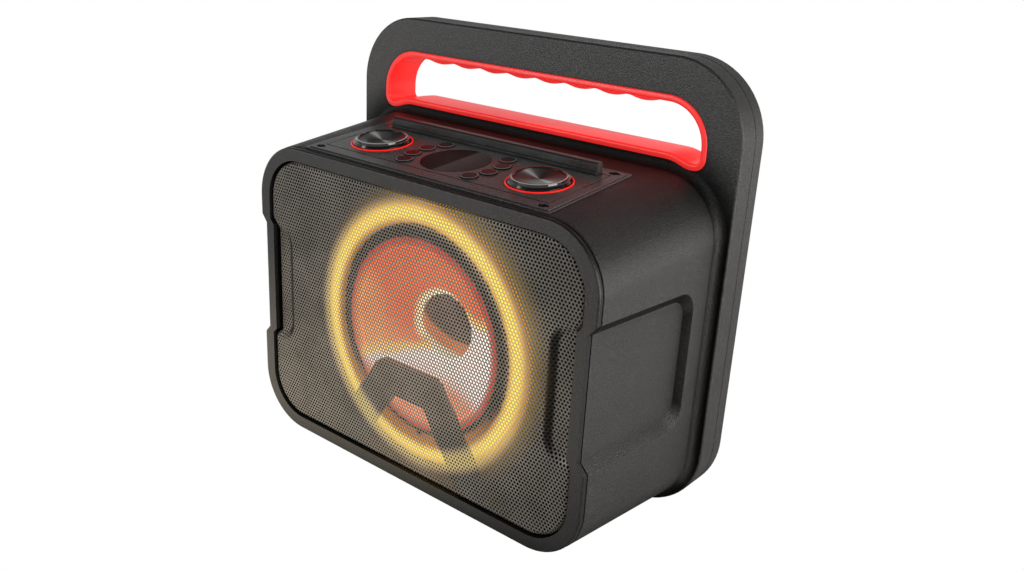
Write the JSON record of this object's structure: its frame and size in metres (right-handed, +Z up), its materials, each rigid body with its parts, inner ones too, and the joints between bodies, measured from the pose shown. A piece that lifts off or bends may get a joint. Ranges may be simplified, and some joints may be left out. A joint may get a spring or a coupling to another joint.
{
  "type": "party speaker",
  "caption": "Portable party speaker: perforated grille with a light ring round the driver, sloped control panel, and a carry frame with a soft hand grip.",
  "frame": {"origin": "on the floor, midway across the width and midway through the depth", "axes": "+X to the right seen from the front, +Y from the front grille to the back, +Z up"},
  "size_m": [0.361, 0.1574, 0.339],
  "materials": {
    "charcoal_plastic": "fine moulded texture",
    "dark_plastic": "satin",
    "grille_metal": "fine powder coat, perforated",
    "black_foam": "closed-cell foam",
    "black_steel": "black oxide",
    "amber_light": "translucent, lit from behind",
    "circuit_board": "solder mask",
    "black_metal": "satin",
    "magnet": "ground ferrite",
    "printed_cone": "warm printed swirl",
    "surround_rubber": "matt",
    "dust_cap": "gloss",
    "copper_coil": "enamelled wire",
    "spider_cloth": "treated cloth",
    "red_rubber": "smooth satin",
    "display_glass": "dark, polished",
    "foot_rubber": "matt",
    "socket_plastic": "gloss",
    "socket_metal": "bright nickel",
    "knob_black": "high gloss",
    "knob_metal": "spun, black anodised",
    "shaft_steel": "turned",
    "red_light": "translucent, lit from behind",
    "battery_wrap": "shrink wrap",
    "cable_jacket": "smooth",
    "button_plastic": "satin"
  },
  "bodies": {
    "chassis": {"amplifier_board": "circuit_board", "aux_socket": "socket_plastic", "baffle_screws": "black_steel", "bass_port": "dark_plastic", "battery_bracket": "socket_metal", "battery_pack": "battery_wrap", "board_screws": "black_steel", "button_board": "circuit_board", "cabinet_seal": "black_foam", "control_panel": "charcoal_plastic", "display_lens": "display_glass", "display_module": "dark_plastic", "encoders": "socket_metal", "frame_screws": "black_steel", "front_baffle": "dark_plastic", "front_bezel": "charcoal_plastic", "front_feet": "foot_rubber", "grille": "grille_metal", "grille_brace": "dark_plastic", "grille_gasket": "black_foam", "handle_grip": "red_rubber", "jack_panel": "dark_plastic", "knob_light_rings": "red_light", "led_ring_board": "circuit_board", "led_ring_diffuser": "amber_light", "main_cabinet": "charcoal_plastic", "mic_sockets": "socket_plastic", "panel_screws": "black_steel", "power_inlet": "socket_plastic", "power_switch_housing": "socket_plastic", "rear_feet": "foot_rubber", "rear_shell": "charcoal_plastic", "tablet_rail": "dark_plastic", "usb_socket": "socket_metal", "wiring": "cable_jacket", "woofer_basket": "black_metal", "woofer_gasket": "black_foam", "woofer_magnet": "magnet", "woofer_screws": "black_steel", "woofer_spider": "spider_cloth", "woofer_surround": "surround_rubber", "woofer_trim_ring": "dark_plastic"},
    "knob_left": {"knob_left_cap": "knob_black", "knob_left_dish": "knob_metal", "knob_left_shaft": "shaft_steel"},
    "knob_right": {"knob_right_cap": "knob_black", "knob_right_dish": "knob_metal", "knob_right_shaft": "shaft_steel"},
    "woofer_motor": {"woofer_cone": "printed_cone", "woofer_dust_cap": "dust_cap", "woofer_voice_coil": "copper_coil"},
    "rocker": {"power_rocker": "knob_black"},
    "button_1": {"button_1": "button_plastic"},
    "button_2": {"button_2": "button_plastic"},
    "button_3": {"button_3": "button_plastic"},
    "button_4": {"button_4": "button_plastic"},
    "button_5": {"button_5": "button_plastic"},
    "button_6": {"button_6": "button_plastic"},
    "button_7": {"button_7": "button_plastic"},
    "button_8": {"button_8": "button_plastic"}
  },
  "joints": [
    {"name": "knob_left_turn", "type": "hinge", "parent": "chassis", "child": "knob_left", "pos_m": [-0.0757, -0.03101, 0.25596], "axis": [0, -0.1093, 0.994], "continuous": true},
    {"name": "knob_right_turn", "type": "hinge", "parent": "chassis", "child": "knob_right", "pos_m": [0.0757, -0.03101, 0.25596], "axis": [0, -0.1093, 0.994], "continuous": true},
    {"name": "button_1_press", "type": "slide", "parent": "chassis", "child": "button_1", "axis": [0, 0.1093, -0.994], "range_m": [0, 0.0008], "stiffness_N_per_m": 300},
    {"name": "button_2_press", "type": "slide", "parent": "chassis", "child": "button_2", "axis": [0, 0.1093, -0.994], "range_m": [0, 0.0008], "stiffness_N_per_m": 300},
    {"name": "button_3_press", "type": "slide", "parent": "chassis", "child": "button_3", "axis": [0, 0.1093, -0.994], "range_m": [0, 0.0008], "stiffness_N_per_m": 300},
    {"name": "button_4_press", "type": "slide", "parent": "chassis", "child": "button_4", "axis": [0, 0.1093, -0.994], "range_m": [0, 0.0008], "stiffness_N_per_m": 300},
    {"name": "button_5_press", "type": "slide", "parent": "chassis", "child": "button_5", "axis": [0, 0.1093, -0.994], "range_m": [0, 0.0008], "stiffness_N_per_m": 300},
    {"name": "button_6_press", "type": "slide", "parent": "chassis", "child": "button_6", "axis": [0, 0.1093, -0.994], "range_m": [0, 0.0008], "stiffness_N_per_m": 300},
    {"name": "button_7_press", "type": "slide", "parent": "chassis", "child": "button_7", "axis": [0, 0.1093, -0.994], "range_m": [0, 0.0008], "stiffness_N_per_m": 300},
    {"name": "button_8_press", "type": "slide", "parent": "chassis", "child": "button_8", "axis": [0, 0.1093, -0.994], "range_m": [0, 0.0008], "stiffness_N_per_m": 300},
    {"name": "cone_travel", "type": "slide", "parent": "chassis", "child": "woofer_motor", "axis": [0, 1, 0], "range_m": [-0.004, 0.004], "stiffness_N_per_m": 1200, "deforming": ["woofer_surround", "woofer_spider"]},
    {"name": "power_rocker_tip", "type": "hinge", "parent": "chassis", "child": "rocker", "pos_m": [-0.058, 0.06925, 0.062], "axis": [1, 0, 0], "range_deg": [-7, 7]}
  ]
}
